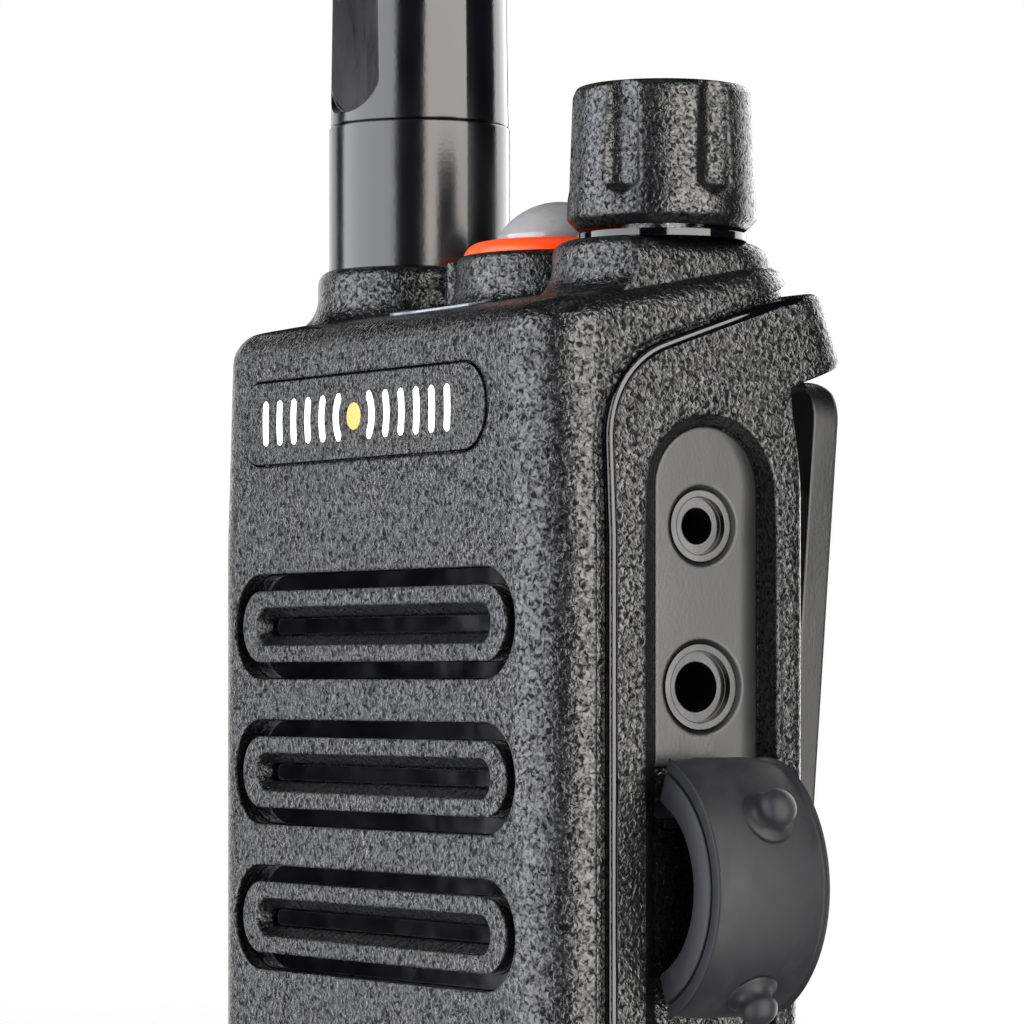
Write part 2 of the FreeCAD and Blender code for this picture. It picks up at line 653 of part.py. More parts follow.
def antenna_parts():
    """The antenna's foot and whip, and the metal insert that holds both."""
    ax, py = size("antenna_x"), size("post_y")
    radius, seam, top = size("antenna_radius"), size("antenna_seam"), size("antenna_top")
    base = new_body("foot", "antenna_x", "post_y", 0)
    revolved(base, [("1.6", "boss_top - 0.8"), ("antenna_radius", "boss_top - 0.8"),
                    ("antenna_radius", "antenna_seam - 0.12"), ("antenna_radius - 0.12", "antenna_seam"),
                    ("1.6", "antenna_seam")])
    node(base, "antenna_base")
    profile = [(1.6, seam + 0.02, 0), (radius - 0.22, seam + 0.02, 0), (radius - 0.1, seam + 0.16, 0),
               (size("antenna_top_radius"), top, 2.6), (0, top, 0), (0, top - 3, 0), (1.6, top - 3, 0)]
    whip = turned(profile, ax, py)
    flat, tall = size("antenna_flat"), top - 5 - (seam + 0.9)
    middle = seam + 0.9 + tall / 2
    panel = [(ax - 3.75, middle - tall / 2, 3), (ax + 3.75, middle - tall / 2, 3),
             (ax + 3.75, middle + tall / 2, 3), (ax - 3.75, middle + tall / 2, 3)]
    recesses = [prism(panel, "y", py + s * flat, py + s * 9) for s in (-1, 1)]
    shaped("antenna_whip", whip.cut(recesses))
    stem = rod("stem", "antenna_x", "post_y", 106, 1.5, "antenna_top - 4 - 106")
    flange = rod("flange", "antenna_x", "post_y", 104.6, 4.9, 3.4)
    node(joined("insert", stem, flange), "antenna_insert")


def knob_parts():
    """The volume knob, its collar and spindle, and the potentiometer below."""
    knob = new_body("knob", "knob_x", "post_y", 0)
    turn = revolved(knob, [("0.02", "knob_top - 2.4"), ("shaft_radius", "knob_top - 2.4"),
                           ("shaft_radius", "knob_bottom"), ("knob_radius - 0.75", "knob_bottom"),
                           ("knob_radius", "knob_bottom + 0.75"), ("knob_top_radius", "knob_top"),
                           ("0.02", "knob_top")])
    round_edges(knob, turn, 0.8, at_height(size("knob_top")))
    doc.recompute()
    add_flutes(knob)
    node(knob, "volume_knob")
    collar = new_body("collar", "knob_x", "post_y", 0)
    pad(collar, circles(collar, "XY_Plane", [(0, 0, "collar_radius"), (0, 0, "shaft_radius + 0.75")],
                        "boss_top + 0.01"), "0.54")
    node(collar, "knob_collar")
    stem = rod("spindle", "knob_x", "post_y", 101.4, "shaft_radius - 0.03", "knob_top - 2.5 - 101.4")
    node(stem, "volume_spindle")
    bush = cut("bushing", rod("bush_out", "knob_x", "post_y", 101, "shaft_radius + 0.6", "boss_top - 101.05"),
               rod("bush_in", "knob_x", "post_y", 100, "shaft_radius + 0.04", 12))
    can = cut("track", box("can", "knob_x - 6.4", "post_y - 6", 95.2, 10.0, 11.0, 5.8),
              rod("can_in", "knob_x", "post_y", 100.2, "shaft_radius + 0.6", 1.5))
    node(joined("pot", bush, can), "volume_potentiometer")


def add_flutes(knob):
    """Upright scallops round the knob, each tapering out at its foot."""
    sketch = outline(knob, "XZ_Plane", [
        ("flute_offset", "flute_foot"), ("flute_offset + 0.9", "flute_foot"),
        ("flute_offset + flute_radius", "flute_foot + 1.2"),
        ("flute_offset + flute_radius", "knob_top + 1"), ("flute_offset", "knob_top + 1")])
    groove = knob.newObject("PartDesign::Groove", "flute")
    groove.Profile = sketch
    groove.ReferenceAxis = (sketch, ["Edge5"])
    groove.Angle = 360
    pattern = knob.newObject("PartDesign::PolarPattern", "flutes")
    pattern.Originals = [groove]
    pattern.Axis = (next(f for f in knob.Origin.OriginFeatures if f.Role == "Z_Axis"), [""])
    pattern.Angle = 360
    bind(pattern, Occurrences="flute_count")
    knob.Tip = pattern


def button_parts():
    """The top button with its dome, its switch, and the status light's diode."""
    cap = new_body("cap", "button_x", "button_y", 0)
    turn = revolved(cap, [("0.02", "button_top - 3.9"), ("button_radius", "button_top - 3.9"),
                          ("button_radius", "button_top"), ("dome_waist + 0.05", "button_top"),
                          ("dome_waist + 0.05", "button_top - 2.4"), ("0.02", "button_top - 2.4")])
    at_top = at_height(size("button_top"))
    cap.Tip = round_edges(cap, turn, 1.3, lambda e: at_top(e) and e.Curve.Radius > size("dome_waist") + 1)
    plunger = rod("plunger", "button_x", "button_y", "button_top - 7.2", 1.9, 3.4)
    node(joined("push", cap, plunger), "top_button_cap")
    waist, centre, radius = size("dome_waist"), size("dome_centre"), size("dome_radius")
    ball = Part.makeSphere(radius, Vector(size("button_x"), size("button_y"), centre))
    keep = Part.makeCylinder(waist, 8, Vector(size("button_x"), size("button_y"), size("button_top") - 2.35))
    shaped("top_button_lens", ball.common(keep))
    switch_tall = "button_top - 7.2 - 99.4 - button_travel - 0.15"
    node(box("tact", "button_x - 3", "button_y - 3", 99.4, 6, 6, switch_tall), "top_button_switch")
    node(rod("led", 0, -5.6, 99.4, 1.5, 2.6), "status_light_led")


# Jack side


def stepped_ring(level, ring, hole, depth):
    """A jack socket: a barrel with a bore and two turned rings round its mouth."""
    y, length, mouth = size("jack_y"), size("jack_length"), HALF - size("recess_deep") - 0.25

    def barrel(radius, start, long):
        return Part.makeCylinder(radius, long, Vector(start, y, level), X)
    back = barrel(ring + 0.3, mouth - length, length - 1.6)
    back = back.common(slab((0, y - ring, level - ring - 1), (HALF, y + ring, level + ring + 1)))
    form = back.fuse(barrel(ring - 0.04, mouth - 2.2, 2.2))
    return form.cut([barrel((ring + hole) / 2 + 0.12, mouth - depth, depth),
                     barrel(hole, mouth - length + 1, length)])


def jack_parts():
    """The panel of the recess and its two jack sockets."""
    y, face = size("panel_y"), HALF - size("recess_deep")
    rings = ((size("jack_small_z"), size("jack_small_ring")), (size("jack_large_z"), size("jack_large_ring")))
    panel = prism(arch(y, size("panel_half") - 0.05, size("panel_bottom"), size("recess_top") - 1.0),
                  "x", size("frame_inner") - 0.05, face)
    flange = prism(arch(y, size("panel_half") + 1, size("panel_bottom") - 1, size("recess_top") - 0.3),
                   "x", size("frame_inner") - 0.9, size("frame_inner") - 0.02)
    panel = panel.fuse(flange)
    for level, ring in rings:
        hole = Part.makeCylinder(ring, 6, Vector(face - 4, size("jack_y"), level), X)
        sink = Part.makeCone(ring, ring + 0.35, 0.35, Vector(face - 0.34, size("jack_y"), level), X)
        panel = panel.cut([hole, sink])
    shaped("jack_panel", panel)
    for label, kind, depth in (("jack_socket_2_5", "small", 0.5), ("jack_socket_3_5", "large", 0.6)):
        level, ring, bore = (size(f"jack_{kind}_{what}") for what in ("z", "ring", "bore"))
        shaped(label, stepped_ring(level, ring, bore, depth))


def cover_centre():
    """The centre, radius and half-angle of the open cover's arch."""
    chord, bulge = size("cover_chord"), size("cover_bulge")
    radius = (chord ** 2 / 4 + bulge ** 2) / (2 * bulge)
    centre = Vector(size("cover_top_x") + bulge - radius, size("cover_y"), size("cover_top_z") - chord / 2)
    return centre, radius, math.asin(chord / 2 / radius)


def cover_strip(thick_in, thick_out, half):
    """A strip bent along the arch, between two distances from its mid-line."""
    centre, radius, spread = cover_centre()
    outer, inner = ([centre + Vector(r * math.cos(a), -half, r * math.sin(a)) for a in (spread, 0, -spread)]
                    for r in (radius + thick_out, radius - thick_in))
    edges = [Part.Arc(*outer).toShape(), Part.LineSegment(outer[2], inner[2]).toShape(),
             Part.Arc(*reversed(inner)).toShape(), Part.LineSegment(inner[0], outer[0]).toShape()]
    return Part.Face(Part.Wire(edges)).extrude(Vector(0, 2 * half, 0))


def cover_outline():
    """The cover's outline from the side: its rear corners are rounder than its front ones."""
    y, half, small, large = size("cover_y"), size("cover_half"), 0.5, 1.8
    top, low = size("cover_top_z") + 0.9, size("cover_top_z") - size("cover_chord") - 0.9
    corners = [(y - half, low, small), (y + half, low, large), (y + half, top, large), (y - half, top, small)]
    return prism(corners, "x", HALF - 1, HALF + 12)


def jack_cover():
    """The rubber cover as it hangs open: a thick strip, a thin skin and two plugs on the outward face."""
    half, thick, skin = size("cover_half"), size("cover_thick"), size("cover_skin")
    centre, radius, _ = cover_centre()
    layers = [cover_strip(0.2, 0.1, half - 0.45), cover_strip(-0.08, skin, half)]
    form = cover_strip(thick, -0.12, half).fuse(layers).common(cover_outline())
    y, neck, hx, hz = size("cover_y"), size("cover_neck"), size("hinge_x"), size("hinge_z")
    root = prism([(size("cover_clear_x"), hz - 1.1, 0.5), (26.6, hz - 0.6, 0), (26.6, hz + 1.2, 0),
                  (hx, hz + 0.9, 0.6), (size("cover_clear_x"), hz + 0.3, 0.4)], "y", y - neck, y + neck)
    form = form.fuse(root)
    for angle, plug in ((size("plug_upper_angle"), 1.3), (size("plug_lower_angle"), 1.2)):
        turn = math.radians(angle)
        out = Vector(math.cos(turn), 0, math.sin(turn))
        foot = centre + out * (radius + skin - 0.3) + Y * (size("plug_y") - y)
        form = form.fuse([Part.makeCylinder(plug, 1.5, foot, out), Part.makeSphere(plug, foot + out * 1.5)])
    return form


def cover_parts():
    """The rubber cover and the tab that anchors it in the casing."""
    shaped("jack_cover", jack_cover())
    face = HALF - size("recess_deep")
    tab = slab((19.6, -0.9, 67.5), (face + 0.02, 4.9, 70.2))
    foot = slab((18.8, -1.8, 66.8), (size("frame_inner") - 0.05, 5.8, 70.6))
    shaped("jack_cover_anchor", tab.fuse(foot))


# Push-to-talk side


def key_parts():
    """The talk button, the two keys below it and the switches behind them."""
    names = ("ptt_button", "side_key_upper", "side_key_lower")
    face, wall = -HALF - size("key_proud"), -size("frame_inner")
    for name, (low, high, half) in zip(names, key_levels()):
        form = prism(key_outline(low, high, half), "x", face, wall + 1.1)
        flange = prism(key_outline(low, high, half, 0.4), "x", wall + 0.75, wall + 1.5)
        rim = [edge for edge in form.Edges if all(abs(v.X - face) < 1e-4 for v in edge.Vertexes)]
        form = form.makeFillet(0.9, rim)
        nib = Part.makeCylinder(1.2, 1.2, Vector(wall + 1.4, size("recess_y"), (low + high) / 2), X)
        shaped(name, form.fuse([flange, nib]))
    start = wall + 2.6 + size("key_travel") + 0.25
    switches = [box(f"switch{i}", start, "recess_y - 2", (low + high) / 2 - 1.9, 1.8, 4, 3.8)
                for i, (low, high, _) in enumerate(key_levels())]
    node(grouped("switches", *switches), "side_switches")
    node(box("switch_board", start + 1.85, "recess_y - 3.6", 63, 0.8, 7.4, 32.6), "side_switch_board")


# Battery pack and latch


def battery_parts():
    """The battery's case, cells, board and pads, and the radio's own contact springs."""
    half, rear, top = size("battery_half"), size("strip_rear"), size("battery_top")
    inner = slab((-half, 0, 0), (half, 8.2, top))
    cap = prism(plan(size("strip_half"), 8.1, rear, 0, 1.8), "z", 0, top + 0.8)
    rails = [slab((min(s * 20, s * 22.1), 2.6, 5), (max(s * 20, s * 22.1), 4.0, 44)) for s in (-1, 1)]
    hollow = slab((-half + 1.3, 1.2, 1.4), (half - 1.3, rear - 1.5, top - 1.4))
    split = slab((-30, -2, -2), (30, 3.3, 70))
    case = inner.fuse([cap, *rails]).cut(hollow)
    contact_ways = [slab((x - 0.9, -1, 54.4), (x + 0.9, 2, 57.6)) for x in terminal_places()]
    shaped("battery_case_front", case.common(split).cut(contact_ways))
    shaped("battery_case_rear", case.cut(split))
    cells = [box(f"cell{i}", -18.6 + i * 18.8, 1.7, 2.2, 18.4, 6.3, 46) for i in (0, 1)]
    node(grouped("cells", *cells), "battery_cells")
    node(box("charge_board", -18, 2.3, 50.2, 36, 0.8, 7), "battery_protection_board")
    pads = [box(f"pad{i}", x - 0.85, 0.25, 54.6, 1.7, 2.0, 2.8) for i, x in enumerate(terminal_places())]
    node(grouped("pads", *pads), "battery_contacts")
    springs = []
    for i, x in enumerate(terminal_places()):
        leaf = prism([(-2.2, 54.3, 0), (-1.9, 54.3, 0), (-0.9, 55.6, 0.4), (-0.3, 56.0, 0.2),
                      (-0.9, 56.4, 0.4), (-1.9, 57.6, 0), (-2.2, 57.6, 0)], "x", x - 0.7, x + 0.7)
        springs.append(leaf)
    shaped("radio_contacts", Part.makeCompound(springs))


def latch_parts():
    """The battery's latch with its retainer and two springs."""
    thumb = slab((-6.5, -4.9, 0.25), (6.5, -2.6, 2.6)).fuse(slab((-3, -2.7, 1.0), (3, -0.25, 2.6)))
    ridges = [slab((-5, y, -0.1), (5, y + 0.35, 0.5)) for y in (-4.5, -3.8, -3.1)]
    shaped("battery_latch", thumb.cut(ridges))
    cover = slab((-7.6, -6.4, 2.75), (7.6, -2.0, 3.3))
    shaped("latch_retainer", cover)
    coils = [coil_ring(x, -5.85, 1.5) for x in (-4.5, 4.5)]
    shaped("latch_springs", Part.makeCompound(coils))


def coil_ring(x, y, z):
    """A short plain compression spring along Y, as a tube of its outer size."""
    tube = Part.makeCylinder(0.75, 0.9, Vector(x, y, z), Y)
    return tube.cut(Part.makeCylinder(0.45, 2, Vector(x, y - 0.5, z), Y))


# Belt clip


def clip_blade():
    """A long tapering spring blade with a thumb tab above its hinge ears and an inward foot."""
    top, foot, thick = size("clip_top"), size("clip_foot"), size("clip_thick")
    lean = math.tan(math.radians(size("clip_lean")))
    outer = size("clip_outer")

    def face(z):
        """The distance of the blade's outer face from the front at a height."""
        return outer - (top - z) * lean
    side = [(face(top), top, 1.0), (face(top) - thick, top, 1.0), (face(52) - thick, 52, 30),
            (11.25, foot + 3.2, 2.2), (12.6, foot - 0.6, 0.5), (13.8, foot - 0.6, 0.5),
            (13.7, foot + 4.2, 2.5), (face(52), 52, 30)]
    blade = prism(side, "x", -size("clip_half"), size("clip_half"))
    half = size("clip_half")
    front = [(-half + 2.2, foot - 1, 3), (half - 2.2, foot - 1, 3), (half, foot + 22, 40), (half, top, 3.2),
             (-half, top, 3.2), (-half, foot + 22, 40)]
    blade = blade.common(prism(front, "y", 8, 24))
    pin_y, pin_z = size("pin_y"), size("pin_z")
    root = face(pin_z) - 1
    ear = [(pin_y - 1.9, pin_z - 1.9, 1.8), (root, pin_z - 5.5, 0), (root, pin_z + 5.5, 0),
           (pin_y - 1.9, pin_z + 1.9, 1.8)]
    form = blade.fuse([prism(ear, "x", low, low + 1.8) for low in (-10.2, 8.4)])
    return form.cut(Part.makeCylinder(size("pin_radius") + 0.06, 30, Vector(-15, pin_y, pin_z), X))


def clip_parts():
    """The belt clip with its bracket, pin, spring and screws."""
    shaped("belt_clip", clip_blade())
    pin_y, pin_z, rear = size("pin_y"), size("pin_z"), size("strip_rear")
    plate = slab((-8, rear + 0.02, 79.5), (8, rear + 1.3, 96))
    ear = [(rear + 0.5, pin_z - 5, 0), (pin_y + 1.7, pin_z - 1.7, 1.6), (pin_y + 1.7, pin_z + 1.7, 1.6),
           (rear + 0.5, pin_z + 5, 0)]
    ears = [prism(ear, "x", low, low + 1.6) for low in (-8, 6.4)]
    bracket = plate.fuse(ears).cut(Part.makeCylinder(size("pin_radius"), 30, Vector(-15, pin_y, pin_z), X))
    holes = [Part.makeCylinder(1.1, 5, Vector(x, rear - 1, z), Y) for x, z in clip_screw_places()]
    shaped("clip_bracket", bracket.cut(holes))
    node(rod("hinge_pin", -10.4, "pin_y", "pin_z", "pin_radius", 20.8, "x"), "clip_hinge_pin")
    turns = Part.makeHelix(1.05, 6.3, 1.75)
    turns.Placement = Placement(Vector(-3.15, pin_y, pin_z), Rotation(Y, 90))
    shaped("clip_spring", helix_rod(turns, 0.4))
    screws = [screw(x, rear + 1.32, z, 1.9, 0.9, 4.4) for x, z in clip_screw_places()]
    shaped("clip_screws", Part.makeCompound(screws))


def helix_rod(path, radius):
    """A wire of round section along a helix."""
    edge = path.Edges[0]
    start, along = edge.valueAt(edge.FirstParameter), edge.tangentAt(edge.FirstParameter)
    section = Part.Wire(Part.makeCircle(radius, start, along))
    return Part.Wire(path.Edges).makePipeShell([section], True, True)


# Electronics and fasteners


def board_parts():
    """The circuit board with its cans, the chassis, the microphone and the casing's screws."""
    board = new_body("main_board", 0, "board_front + board_thick", 0)
    pad(board, outline(board, "XZ_Plane", rectangle("board_half", 45, 0, 50)), "board_thick")
    node(board, "main_circuit_board")
    node(box("can_a", -13, "board_front - 2.6", 14, 26, 2.55, 34), "radio_shield_can")
    node(box("chip", -5, "board_front - 1.3", 90.2, 10, 1.25, 4.6), "audio_chip")
    node(box("chassis", -16, "board_front + board_thick + 0.25", 6, 32, 1.1, 88), "chassis_plate")
    microphone = rod("mic", "sound_x", "casing_wall - body_front + 0.15", "sound_z", 2.0, 1.6, "y")
    sleeve = rod("boot_out", "sound_x", "casing_wall - body_front + 0.05", "sound_z", 2.6, 1.9, "y")
    boot = cut("mic_boot", sleeve,
               rod("boot_in", "sound_x", "casing_wall - body_front - 1", "sound_z", 2.03, 9, "y"))
    node(microphone, "microphone")
    node(boot, "microphone_boot")
    screws = [screw(x, -1.42, z, 1.85, 0.85, 5.4) for x, z in case_screw_places()]
    shaped("housing_screws", Part.makeCompound(screws))


def screw(x, seat, z, head_radius, head_tall, length):
    """A cross-head screw driven forward: its head sits on the seat and its shank points to the front."""
    shank_radius, arm, slot = 0.93, head_radius * 0.62, 0.2
    face = seat + head_tall
    head = Part.makeCylinder(head_radius, head_tall, Vector(x, seat, z), Y)
    shank = Part.makeCylinder(shank_radius, length, Vector(x, seat - length, z), Y)
    cross = [slab((x - arm, face - 0.4, z - slot), (x + arm, face + 1, z + slot)),
             slab((x - slot, face - 0.4, z - arm), (x + slot, face + 1, z + arm))]
    return head.fuse(shank).cut(cross)


def main():
    """Builds every sub-part, then checks and exports them."""
    casing_parts()
    speaker_parts()
    antenna_parts()
    knob_parts()
    button_parts()
    jack_parts()
    cover_parts()
    key_parts()
    battery_parts()
    latch_parts()
    clip_parts()
    board_parts()
    finish()


def finish():
    """Checks every object and writes each sub-part's file."""
    doc.recompute()
    for thing in doc.Objects:
        if {"Invalid", "Error"} & set(thing.State):
            raise RuntimeError(f"{thing.Name} ({thing.Label}) failed: {thing.State}")
    for thing in NODES:
        if thing.Shape.isNull() or not thing.Shape.isValid() or not thing.Shape.Solids:
            raise RuntimeError(f"{thing.Label} has no valid solid")
    for thing in NODES:
        thing.Shape.exportStep(f"parts/{thing.Label}.step")


main()
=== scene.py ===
"""The looks of a handheld two-way radio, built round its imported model."""

import json
import math

import bmesh
import bpy
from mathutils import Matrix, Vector


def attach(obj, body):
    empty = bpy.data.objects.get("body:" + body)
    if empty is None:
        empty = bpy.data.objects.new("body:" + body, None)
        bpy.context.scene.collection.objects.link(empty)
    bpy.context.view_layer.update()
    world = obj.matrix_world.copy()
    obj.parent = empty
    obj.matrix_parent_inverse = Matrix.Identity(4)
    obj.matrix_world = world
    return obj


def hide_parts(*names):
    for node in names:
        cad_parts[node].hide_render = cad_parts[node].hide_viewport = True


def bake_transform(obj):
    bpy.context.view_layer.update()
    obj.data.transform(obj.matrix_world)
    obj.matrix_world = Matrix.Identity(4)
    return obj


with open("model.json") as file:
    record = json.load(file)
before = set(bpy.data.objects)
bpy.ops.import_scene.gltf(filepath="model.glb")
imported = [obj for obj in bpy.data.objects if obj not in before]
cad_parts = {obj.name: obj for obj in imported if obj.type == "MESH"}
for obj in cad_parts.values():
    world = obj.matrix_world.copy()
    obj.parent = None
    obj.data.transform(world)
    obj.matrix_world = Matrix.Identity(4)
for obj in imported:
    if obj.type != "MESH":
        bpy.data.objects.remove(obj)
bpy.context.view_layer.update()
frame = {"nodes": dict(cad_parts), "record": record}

MM = 0.001
ROOT = "radio_body"


# Shader building blocks


class Look:
    """A Principled material, with short calls that add nodes and join them up."""

    def __init__(self, name, colour, roughness, **values):
        self.material = bpy.data.materials.new(name)
        self.material.use_nodes = True
        self.tree = self.material.node_tree
        self.shader = self.tree.nodes["Principled BSDF"]
        self.colour = (*colour, 1)
        self.shader.inputs["Base Color"].default_value = self.colour
        self.shader.inputs["Roughness"].default_value = roughness
        for socket, value in values.items():
            self.shader.inputs[socket.replace("_", " ")].default_value = value
        self.place = self.tree.nodes.new("ShaderNodeTexCoord").outputs["Object"]
        self.height = None

    def add(self, kind, inputs=(), **settings):
        """Adds a node. inputs holds (socket, value or output) pairs."""
        made = self.tree.nodes.new("ShaderNode" + kind)
        for setting, value in settings.items():
            setattr(made, setting, value)
        for socket, value in inputs:
            if isinstance(value, bpy.types.NodeSocket):
                self.tree.links.new(value, made.inputs[socket])
            else:
                made.inputs[socket].default_value = value
        return made

    def math(self, operation, a, b=0.0):
        """One sum on two values."""
        return self.add("Math", [(0, a), (1, b)], operation=operation).outputs[0]

    def stretched(self, x, y, z):
        """Coordinates scaled along each axis: a low factor draws a pattern out along that axis."""
        return self.add("VectorMath", [(0, self.place), (1, (x, y, z))], operation="MULTIPLY").outputs[0]

    def noise(self, size, detail=2.0, distortion=0.0, place=None):
        """Noise whose features are about that many metres across."""
        made = self.add("TexNoise", [("Vector", place or self.place), ("Scale", 1 / size), ("Detail", detail),
                                     ("Distortion", distortion), ("Roughness", 0.5)])
        return made.outputs[0]

    def cells(self, size):
        """Rounded cells about that many metres across."""
        inputs = [("Vector", self.place), ("Scale", 1 / size)]
        return self.add("TexVoronoi", inputs, feature="SMOOTH_F1").outputs[0]

    def remap(self, value, low, high, to_low, to_high):
        """Carries low..high over to to_low..to_high, and stops at the ends."""
        made = self.add("MapRange", [("Value", value), ("From Min", low), ("From Max", high),
                                     ("To Min", to_low), ("To Max", to_high)])
        return made.outputs["Result"]

    def bump(self, height, depth):
        """Adds a layer of relief of that depth in metres over what is there already."""
        inputs = [("Height", height), ("Distance", depth), ("Strength", 1.0)]
        if self.height:
            inputs.append(("Normal", self.height))
        self.height = self.add("Bump", inputs).outputs["Normal"]

    def soften(self, radius):
        """Makes hard edges catch the light as if they were rounded."""
        self.height = self.add("Bevel", [("Radius", radius)], samples=6).outputs[0]

    def tint(self, factor, colour):
        """Mixes another colour in where factor is high."""
        socket = self.shader.inputs["Base Color"]
        before = socket.links[0].from_socket if socket.links else self.colour
        mixed = self.add("Mix", [(0, factor), (6, before), (7, (*colour, 1))], data_type="RGBA")
        self.tree.links.new(mixed.outputs[2], socket)

    def vary_roughness(self, value, low, high):
        """Lets the roughness drift between two values."""
        self.tree.links.new(self.remap(value, 0.3, 0.7, low, high), self.shader.inputs["Roughness"])

    def shine(self, value):
        """Lets the strength of the reflections follow a pattern."""
        self.tree.links.new(value, self.shader.inputs["Specular IOR Level"])

    def done(self):
        """Joins the relief to the shader and hands over the material."""
        if self.height:
            self.tree.links.new(self.height, self.shader.inputs["Normal"])
        return self.material


# Materials


def grained_plastic(name, colour=(0.0016, 0.0016, 0.0018), depth=0.034 * MM, grain=0.36 * MM, edge=0.35 * MM):
    """Black moulding with a leather grain: glossy wrinkled crests between matt pits, the crests also painted
    lighter as a painted highlight.
    """
    look = Look(name, colour, 0.24)
    look.soften(edge)
    wrinkles = look.noise(grain, 2.0, 0.8)
    crests = look.remap(wrinkles, 0.3, 0.7, 0.0, 1.0)
    look.bump(crests, depth)
    look.bump(look.cells(grain * 0.9), depth * 0.9)
    look.bump(look.noise(0.09 * MM, 1.0), depth * 0.04)
    look.shine(look.remap(crests, 0.15, 0.85, 0.03, 0.62))
    # Painted highlight: the crests are painted lighter to stand in for the glints of light they catch.
    look.tint(look.remap(crests, 0.55, 1.0, 0.0, 0.6), tuple(c * 2.5 for c in colour))
    look.tint(look.remap(look.noise(9 * MM, 3.0), 0.45, 0.75, 0.0, 0.35), tuple(c * 2 for c in colour))
    drift = look.math("ADD", look.noise(5 * MM, 3.0), look.remap(crests, 0.2, 0.9, 0.12, -0.12))
    look.vary_roughness(drift, 0.17, 0.32)
    return look.done()


def satin_plastic(name, colour=(0.002, 0.002, 0.0023), roughness=0.3, edge=0.3 * MM):
    """Smooth black moulding with the faintest texture and a few rubbed patches."""
    look = Look(name, colour, roughness)
    look.soften(edge)
    look.bump(look.noise(0.25 * MM, 2.0), 0.006 * MM)
    look.bump(look.noise(4 * MM, 2.0), 0.02 * MM)
    smears = look.noise(6 * MM, 4.0, 0.6, place=look.stretched(1, 1, 0.35))
    look.vary_roughness(smears, roughness - 0.05, roughness + 0.09)
    look.tint(look.remap(smears, 0.5, 0.8, 0.0, 0.35), tuple(c * 1.8 for c in colour))
    return look.done()


def gloss_plastic(name, colour=(0.0006, 0.0006, 0.0009), roughness=0.06, edge=0.12 * MM):
    """Polished black, with hairline swirls and a trace of dust."""
    look = Look(name, colour, roughness)
    look.soften(edge)
    hairs = look.noise(0.3 * MM, 1.0, 0.3, place=look.stretched(0.12, 1, 1))
    look.bump(hairs, 0.0015 * MM)
    look.vary_roughness(look.noise(3 * MM, 4.0), roughness * 0.7, roughness * 1.7)
    look.tint(look.remap(look.noise(0.35 * MM, 1.0), 0.68, 0.76, 0.0, 0.3), (0.012, 0.012, 0.012))
    return look.done()


def soft_rubber(name, colour=(0.0045, 0.0046, 0.0056), roughness=0.5):
    """Smooth moulded rubber with a bluish bloom and fine handling marks."""
    look = Look(name, colour, roughness, Specular_IOR_Level=0.22, Sheen_Weight=0.02, Sheen_Roughness=0.5)
    look.soften(0.18 * MM)
    look.bump(look.noise(0.09 * MM, 2.0), 0.005 * MM)
    look.bump(look.noise(2.2 * MM, 3.0), 0.025 * MM)
    scuffs = look.noise(1.6 * MM, 5.0, 0.8, place=look.stretched(1, 1, 0.4))
    look.tint(look.remap(scuffs, 0.55, 0.8, 0.0, 0.5), tuple(c * 1.8 for c in colour))
    look.vary_roughness(scuffs, roughness - 0.08, roughness + 0.1)
    return look.done()


def orange_plastic(name):
    """Satin orange with faint flow marks."""
    look = Look(name, (0.8, 0.05, 0.004), 0.4, Specular_IOR_Level=0.3)
    look.soften(0.3 * MM)
    look.bump(look.noise(0.3 * MM, 2.0), 0.006 * MM)
    look.tint(look.remap(look.noise(3 * MM, 3.0), 0.4, 0.75, 0.0, 0.5), (0.66, 0.034, 0.003))
    look.vary_roughness(look.noise(1.5 * MM, 3.0), 0.28, 0.42)
    return look.done()


def milky_lens(name, colour, tint, roughness, cloud):
    """A translucent light window with clouding inside."""
    look = Look(name, colour, roughness, Subsurface_Weight=0.35, Subsurface_Scale=2 * MM,
                Coat_Weight=0.4, Coat_Roughness=0.12)
    look.soften(0.2 * MM)
    look.tint(look.remap(look.noise(cloud, 3.0), 0.4, 0.7, 0.0, 0.6), tint)
    look.bump(look.noise(0.2 * MM, 1.0), 0.003 * MM)
    look.vary_roughness(look.noise(1.2 * MM, 3.0), roughness * 0.8, roughness * 1.3)
    return look.done()


def metal(name, colour, roughness, along=(1, 1, 0.05), tarnish=(0.25, 0.22, 0.2)):
    """Plated or turned metal with tool marks and a little tarnish."""
    look = Look(name, colour, roughness, Metallic=1.0)
    look.soften(0.08 * MM)
    marks = look.noise(0.12 * MM, 3.0, place=look.stretched(*along))
    look.bump(marks, 0.004 * MM)
    look.vary_roughness(marks, roughness * 0.75, roughness * 1.4)
    look.tint(look.remap(look.noise(2 * MM, 4.0), 0.55, 0.8, 0.0, 0.45), tarnish)
    return look.done()


def board_finish(name):
    """Green solder mask over copper tracks."""
    look = Look(name, (0.012, 0.09, 0.035), 0.32)
    tracks = look.add("TexBrick", [("Vector", look.place), ("Scale", 1 / (3 * MM)), ("Mortar Size", 0.035)])
    look.tint(look.remap(tracks.outputs["Fac"], 0.0, 1.0, 0.0, 0.5), (0.05, 0.2, 0.07))
    look.bump(tracks.outputs["Fac"], 0.02 * MM)
    look.vary_roughness(look.noise(2 * MM, 3.0), 0.26, 0.42)
    return look.done()


